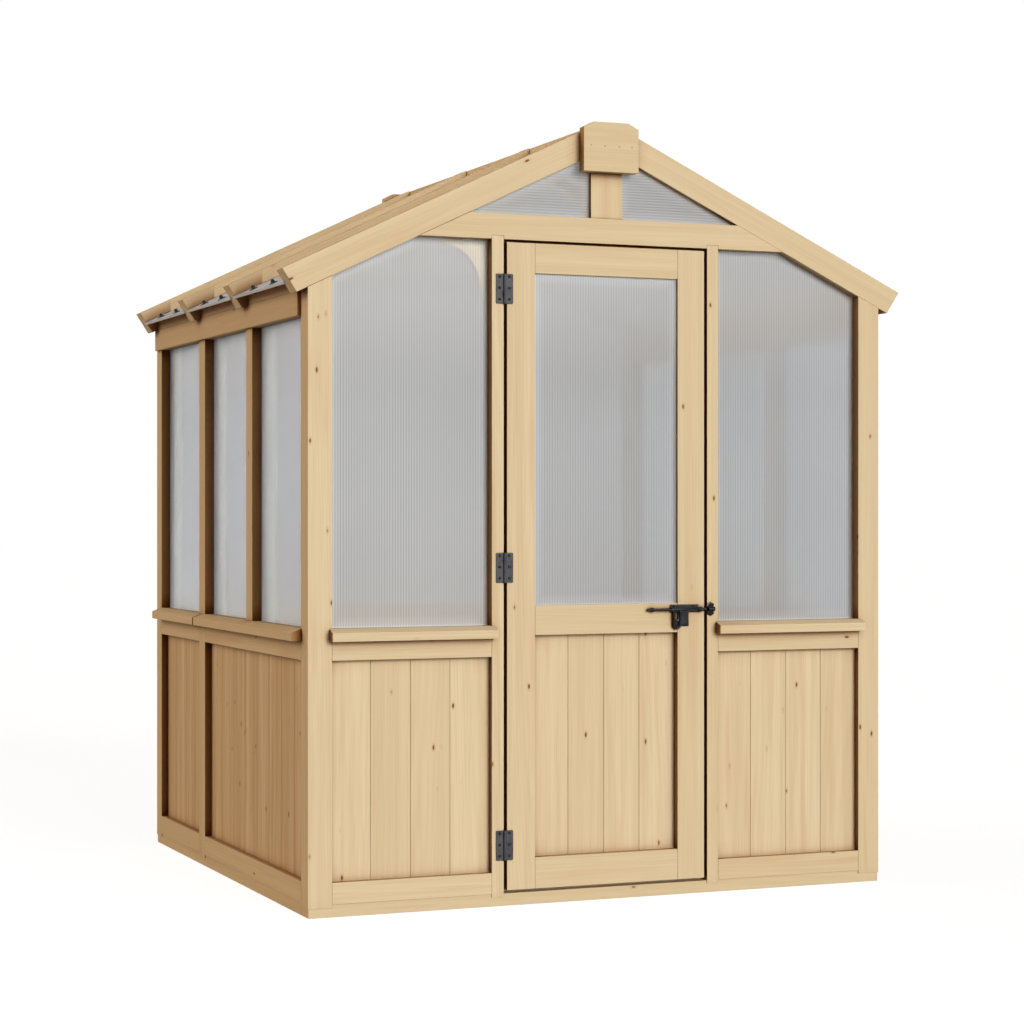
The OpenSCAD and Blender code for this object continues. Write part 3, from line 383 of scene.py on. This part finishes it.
def mend(mesh):
    """Retiles each face whose outline crosses itself, at a step smaller than the rounding."""
    crossed = {}
    for corners in mesh.calc_loop_triangles():
        a, b, c = (corner.vert.co for corner in corners)
        face = corners[0].face
        if (b - a).cross(c - a).dot(face.normal) < -1e-6:
            crossed[face] = True
    for face in crossed:
        corners = list(face.verts)
        along = (corners[1].co - corners[0].co).normalized()
        across = face.normal.cross(along)
        level = face.normal * corners[0].co.dot(face.normal)
        flat = [Vector((vertex.co.dot(along), vertex.co.dot(across))) for vertex in corners]
        outline = [list(range(len(flat)))]
        points, _, tiles, sources, _, _ = delaunay_2d_cdt(flat, [], outline, 1, 1e-6)
        made = []
        for point, source in zip(points, sources):
            if source:
                made.append(corners[source[0]])
            else:
                made.append(mesh.verts.new(level + along * point.x + across * point.y))
        mesh.faces.remove(face)
        for tile in tiles:
            mesh.faces.new([made[index] for index in tile])
    mesh.normal_update()


def new_piece(mesh, name, finish, body, smooth=None):
    """Makes a piece of a bmesh, riding on a body. Its edges are smooth up to smooth degrees."""
    data = bpy.data.meshes.new(name)
    mesh.to_mesh(data)
    mesh.free()
    data.materials.append(finish)
    if smooth is not None:
        data.polygons.foreach_set("use_smooth", [True] * len(data.polygons))
        data.set_sharp_from_angle(angle=math.radians(smooth))
    piece = bpy.data.objects.new(name, data)
    bpy.context.scene.collection.objects.link(piece)
    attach(piece, body)
    return piece


def body_of(node):
    """The moving body that a node belongs to, or the root."""
    for body, nodes in frame["record"]["behaviour"]["bodies"].items():
        if node in nodes:
            return body
    return "root"


def grain_axes(kind, middle):
    """Directions along and across the grain of a solid, by the way it is cut."""
    side = 1 if middle.x > 0 else -1
    along = {
        **DIRECTIONS,
        "slope": Vector((side * math.cos(ROOF_PITCH), 0, -math.sin(ROOF_PITCH))),
        "brace": Vector((-math.sin(BRACE_SLANT), 0, -math.cos(BRACE_SLANT))),
    }[kind]
    across = DIRECTIONS["x"] if kind == "y" else DIRECTIONS["y"]
    return along, across, along.cross(across)


def lee_shade_share(node, face):
    """How much painted shade darkens a face of timber, in the walls' reveals or for the timber that it
    stands behind.
    """
    side_wall, corner_post = 835 * MM, 830 * MM
    behind_front, front_wall = -800 * MM, -775 * MM
    middle, out = face.calc_center_median(), face.normal
    if abs(middle.x) > side_wall and middle.y > behind_front and out.y < -FACING:
        return 1.0
    if abs(middle.x) < corner_post and middle.y < front_wall and out.x < -FACING:
        return 0.9
    if max(-out.y, abs(out.x)) > FACING:
        return LEE_SHADE_SHARES.get(node, 0.0)
    return 0.0


def dress_timber(node, kind, finish=TIMBER, width=1.2 * MM):
    """Stands in for a timber node, with softened edges and each solid's own grain."""
    mesh = clean_copy(node)
    soften(mesh, width)
    # The share of painted shade on each face
    lee_shade = mesh.faces.layers.float.new("lee_shade")
    for face in mesh.faces:
        face[lee_shade] = lee_shade_share(node, face)
    grain = mesh.verts.layers.float_vector.new("grain")
    tint = mesh.verts.layers.float.new("tint")
    dice = random.Random(node)
    for solid in islands(mesh):
        middle = centre_of(solid)
        along, across, through = grain_axes(kind, middle)
        heart = Vector((dice.uniform(-20, 20), dice.choice((-1, 1)) * dice.uniform(0.02, 0.07),
                        dice.choice((-1, 1)) * dice.uniform(0.03, 0.09)))
        own_tint = dice.random()
        for vertex in solid:
            place = vertex.co - middle
            vertex[grain] = Vector((place.dot(along), place.dot(across), place.dot(through))) + heart
            vertex[tint] = own_tint
    piece = new_piece(mesh, f"{node}_wood", finish, body_of(node))
    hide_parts(node)


def inset_borders(mesh, taped):
    """Insets the wide faces of sheets by taped and then by the rim. Returns the vertices inside of the
    rim, and those inside of the border."""
    least_area, least_width = 0.01, 30 * MM
    wide = []
    for face in mesh.faces:
        area, longest = face.calc_area(), max(side.calc_length() for side in face.edges)
        if area > least_area and area > least_width * longest and max(map(abs, face.normal)) > 0.99:
            wide.append(face)
    for width in (taped, RIM):
        bmesh.ops.inset_region(mesh, faces=wide, thickness=width, use_even_offset=True)
    inner = {vertex for face in wide for vertex in face.verts}
    ring = {other for vertex in inner for link in vertex.link_edges for other in link.verts}
    return inner, ring


def dress_sheet(node, kind, finish, taped=0.0):
    """Stands in for a sheet node, with the place across its ribs for the finish. The borders of its
    faces, as wide as taped, are milkier, and a taped side sheet has its place from front to back."""
    mesh = clean_copy(node)
    soften(mesh, 0.5 * MM, 1)
    flute = mesh.verts.layers.float.new("flute")
    edge = mesh.verts.layers.float.new("edge")
    rim = mesh.verts.layers.float.new("rim")
    span = mesh.verts.layers.float.new("span")
    if taped:
        inner, ring = inset_borders(mesh, taped)
        for vertex in mesh.verts:
            vertex[edge] = 0.0 if vertex in ring else 1.0
            vertex[rim] = 0.0 if vertex in inner else 1.0
    for sheet in islands(mesh):
        low, high = (pick(vertex.co.y for vertex in sheet) for pick in (min, max))
        for vertex in sheet:
            vertex[flute] = vertex.co.dot(DIRECTIONS[kind])
            if taped and kind == "y":
                vertex[span] = (vertex.co.y - low) / (high - low)
    piece = new_piece(mesh, f"{node}_plastic", finish, body_of(node))
    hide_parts(node)


def round_corners(mesh, radius):
    """Rounds the four corners of each hinge leaf, away from its knuckles."""
    thinnest, thickest, least_width = 1.5 * MM, 2.5 * MM, 15 * MM
    corners = []
    for edge in mesh.edges:
        run = edge.verts[1].co - edge.verts[0].co
        square = len(edge.link_faces) == 2 and edge.calc_face_angle(0) > math.radians(80)
        through = abs(run.y) > FACING * run.length and thinnest < run.length < thickest
        if square and edge.is_convex and through:
            widths = [face.calc_area() / run.length for face in edge.link_faces]
            if min(widths) > least_width:
                corners.append(edge)
    bmesh.ops.bevel(mesh, geom=corners, offset=radius, offset_type="OFFSET", segments=4, profile=0.5,
                    affect="EDGES", material=-1)


def dress_metal(node, finish, width=0.3 * MM, corner=0.0):
    """Stands in for a metal node, with softened edges."""
    mesh = clean_copy(node)
    if corner:
        round_corners(mesh, corner)
    soften(mesh, width, 2, 1.2 * MM, 0.8 * MM, 40)
    piece = new_piece(mesh, f"{node}_metal", finish, body_of(node), smooth=35)
    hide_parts(node)


TIMBER_NODES = {
    "x": ["base_front", "base_back", "front_rails", "back_rails", "front_sills", "back_sills",
          "collar_beam_front", "collar_beam_back", "apex_plates", "door_rails"],
    "y": ["base_left", "base_right", "left_rails", "right_rails", "left_sills", "right_sills",
          "eave_beam_left", "eave_beam_right", "eave_fillers", "ridge_boards"],
    "z": ["post_front_left", "post_front_right", "post_back_left", "post_back_right",
          "door_stud_left", "door_stud_right", "back_studs", "left_studs", "right_studs",
          "king_posts", "door_stops", "door_stiles"],
    "slope": ["front_rafters", "second_rafters", "third_rafters", "back_rafters"],
    "brace": ["knee_brace"],
}
for kind, nodes in TIMBER_NODES.items():
    for node in nodes:
        dress_timber(node, kind)
for node in ("front_boards", "back_boards", "door_boards"):
    dress_timber(node, "z", BOARDS, 0.7 * MM)
for node in ("left_boards", "right_boards"):
    dress_timber(node, "z", SIDE_BOARDS, 0.7 * MM)
SEALED_SHEETS = {"front_sheets": "x", "back_sheets": "x", "gable_sheets": "z", "door_sheet": "x"}
for node, kind in SEALED_SHEETS.items():
    dress_sheet(node, kind, PLASTIC, SEALED_BORDER)
for node in ("left_sheets", "right_sheets"):
    dress_sheet(node, "y", SIDE_PLASTIC, SEALED_BORDER)
for node in ("roof_sheets_left", "roof_sheets_right"):
    dress_sheet(node, "y", ROOF_PLASTIC)
for node in ("frame_hinge_leaves", "door_hinge_leaves"):
    dress_metal(node, PLATED, corner=3 * MM)
dress_metal("hinge_pins", BLACK)
dress_metal("wall_bolts", PLATED)
for node in ("frame_screws", "door_screws"):
    dress_metal(node, BLACK)
dress_metal("latch_plate", COATED)
for node in ("latch_bolt", "latch_keeper", "roof_screws"):
    dress_metal(node, BLACK)


def turned(mesh, profile, centre, out):
    """Adds a round solid to a mesh. Its profile is (radius, height) pairs in millimetres, and out its
    axis."""
    turn = Vector(out).to_track_quat("Z", "Y").to_matrix()
    ring = [mesh.verts.new(centre + turn @ Vector((radius * MM, 0, height * MM)))
            for radius, height in profile]
    edges = [mesh.edges.new(pair) for pair in zip(ring, ring[1:])]
    bmesh.ops.spin(mesh, geom=ring + edges, cent=centre, axis=turn @ Vector((0, 0, 1)), angle=math.tau,
                   steps=16, use_merge=True)
    bmesh.ops.remove_doubles(mesh, verts=mesh.verts, dist=0.02 * MM)


def plate_nails():
    """Four nails through each apex plate, their heads a little proud of it."""
    places, height = (-61.5, -19.5, 24.7, 63.5), 2.1
    head = [(0, 0.9), (1.6, 0.7), (2.4, 0.1), (2.2, -1.5)]
    mesh = bmesh.new()
    low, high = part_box("apex_plates")
    for face, out in ((low[1], -1), (high[1], 1)):
        for x in places:
            turned(mesh, head, Vector((x * MM, face, height)), (0, out, 0))
    new_piece(mesh, "plate_nails", NAIL, "root", smooth=50)


def screw_heads():
    """Domed heads on the hinges' screws, and crossed slots on all the heads of the door wall."""
    dome_shape, dome_height = [(0, 1.3), (1.4, 1.2), (2.8, 0.7), (3.7, -0.3)], 1.1 * MM
    slot_size, slot_depth = (3.2 * MM, 0.5 * MM, 0.6 * MM), 0.2 * MM
    for node in ("frame_screws", "door_screws"):
        heads, domes, slots = clean_copy(node), bmesh.new(), bmesh.new()
        for screw in islands(heads):
            front = min(vertex.co.y for vertex in screw)
            middle = centre_of(screw)
            if not LATCH_HEIGHTS[0] < middle.z < LATCH_HEIGHTS[1]:
                turned(domes, dome_shape, Vector((middle.x, front, middle.z)), (0, -1, 0))
                front -= dome_height
            # Painted shade: flat dark bars stand for the shaded recesses of the slots
            for turn in (20, 110):
                bar = bmesh.ops.create_cube(slots, size=1)["verts"]
                bmesh.ops.scale(slots, vec=slot_size, verts=bar)
                bmesh.ops.rotate(slots, matrix=Matrix.Rotation(math.radians(turn), 3, "Y"), verts=bar)
                bmesh.ops.translate(slots, vec=(middle.x, front + slot_depth, middle.z), verts=bar)
        heads.free()
        new_piece(slots, f"{node}_slots", SLOT_SHADE, body_of(node))
        new_piece(domes, f"{node}_domes", BLACK, body_of(node), smooth=50)


def bolt_loop():
    """The round bar that the bolt's handle is bent from, along the edge of its flap."""
    # In millimetres, from the middle of the loop at the height of the bolt
    from_tip, from_foot, bar_radius = 92.4, 56, 3.4
    start = (-24, -0.5)
    bends = (((-17.8, -9), 8.4, 90, 0), ((0, -43), 9.4, 180, 360), ((15, -6.3), 5.7, 180, 90))
    steps = 12
    # How far the bar stands forward, from this far below the bolt on
    forward, below = 1.8, 3
    low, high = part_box("latch_bolt")
    middle = Vector((high[0] - from_tip * MM, (low[1] + high[1]) / 2, low[2] + from_foot * MM))
    path = [start]
    for centre, radius, first, last in bends:
        for step in range(steps + 1):
            angle = math.radians(first + (last - first) * step / steps)
            path.append((centre[0] + radius * math.cos(angle), centre[1] + radius * math.sin(angle)))
    bar = bpy.data.curves.new("bolt_bar", "CURVE")
    bar.dimensions = "3D"
    bar.bevel_depth, bar.bevel_resolution, bar.use_fill_caps = bar_radius * MM, 5, True
    line = bar.splines.new("POLY")
    line.points.add(len(path) - 1)
    for point, (x, z) in zip(line.points, path):
        proud = -forward * min(1, -z / below)
        point.co = (*(middle + Vector((x, proud, z)) * MM), 1)
    holder = bpy.data.objects.new("bolt_bar", bar)
    mesh = bmesh.new()
    mesh.from_mesh(holder.to_mesh())
    bpy.data.objects.remove(holder)
    new_piece(mesh, "bolt_loop", BLACK, "bolt", smooth=50)


plate_nails()
screw_heads()
bolt_loop()


def put_in_scene(name, data):
    """A new object of the studio, in the scene."""
    made = bpy.data.objects.new(name, data)
    bpy.context.scene.collection.objects.link(made)
    return made


def studio_floor():
    """A wide floor that keeps the greenhouse's shadow."""
    mesh = bmesh.new()
    bmesh.ops.create_grid(mesh, x_segments=1, y_segments=1, size=60)
    data = bpy.data.meshes.new("floor")
    mesh.to_mesh(data)
    mesh.free()
    data.materials.append(floor_finish())
    put_in_scene("floor", data)


def studio_world():
    """White where the camera sees it, and a dim warm fill for everything else."""
    dim_fill, white = (0.05, 0.031, 0.016, 1), (1, 1, 1, 1)
    surround = Finish("studio", "worlds")
    glow = surround.mix(seen_rays(surround), dim_fill, white)
    sky = surround.add("Background", {}, {"Color": glow, "Strength": 1.0})
    bpy.context.scene.world = surround.show(sky, "OutputWorld")


def far_lamp(name, towards, strength, softness, tone=(1, 1, 1)):
    """A far lamp in the direction towards, as strong as strength times the full level, with a disc
    of softness degrees."""
    light = bpy.data.lights.new(name, "SUN")
    light.energy, light.angle, light.color = strength * math.pi, math.radians(softness), tone
    put_in_scene(name, light).rotation_euler = Vector(towards).to_track_quat("Z", "Y").to_euler()


def room_light():
    """Cool light in the room, for what shows through the sheets."""
    light = bpy.data.lights.new("room_light", "POINT")
    light.energy, light.shadow_soft_size, light.color = 9, 0.3, (0.8, 0.88, 1.0)
    holder = put_in_scene("room_light", light)
    holder.location = (-0.2, -0.25, 1.9)
    holder.visible_camera = holder.visible_transmission = holder.visible_glossy = False


def photo_camera():
    """The photograph's camera, at about half of the greenhouse's height."""
    lens = bpy.data.cameras.new("camera")
    lens.lens, lens.sensor_width, lens.clip_end = 84.72, 36, 200
    camera = put_in_scene("camera", lens)
    camera.location = (-2.8204, -6.9345, 1.0816)
    camera.rotation_euler = (math.radians(90), 0, math.radians(-22.475))
    bpy.context.scene.camera = camera


studio_floor()
studio_world()
far_lamp("key_light", (0.2, -0.95, 0.24), strength=0.90, softness=32)
far_lamp("fill_light", (-0.85, 0.45, 0.27), strength=0.61, softness=60, tone=(1.0, 0.79, 0.60))
room_light()
photo_camera()
bpy.context.scene.view_settings.view_transform = "Standard"
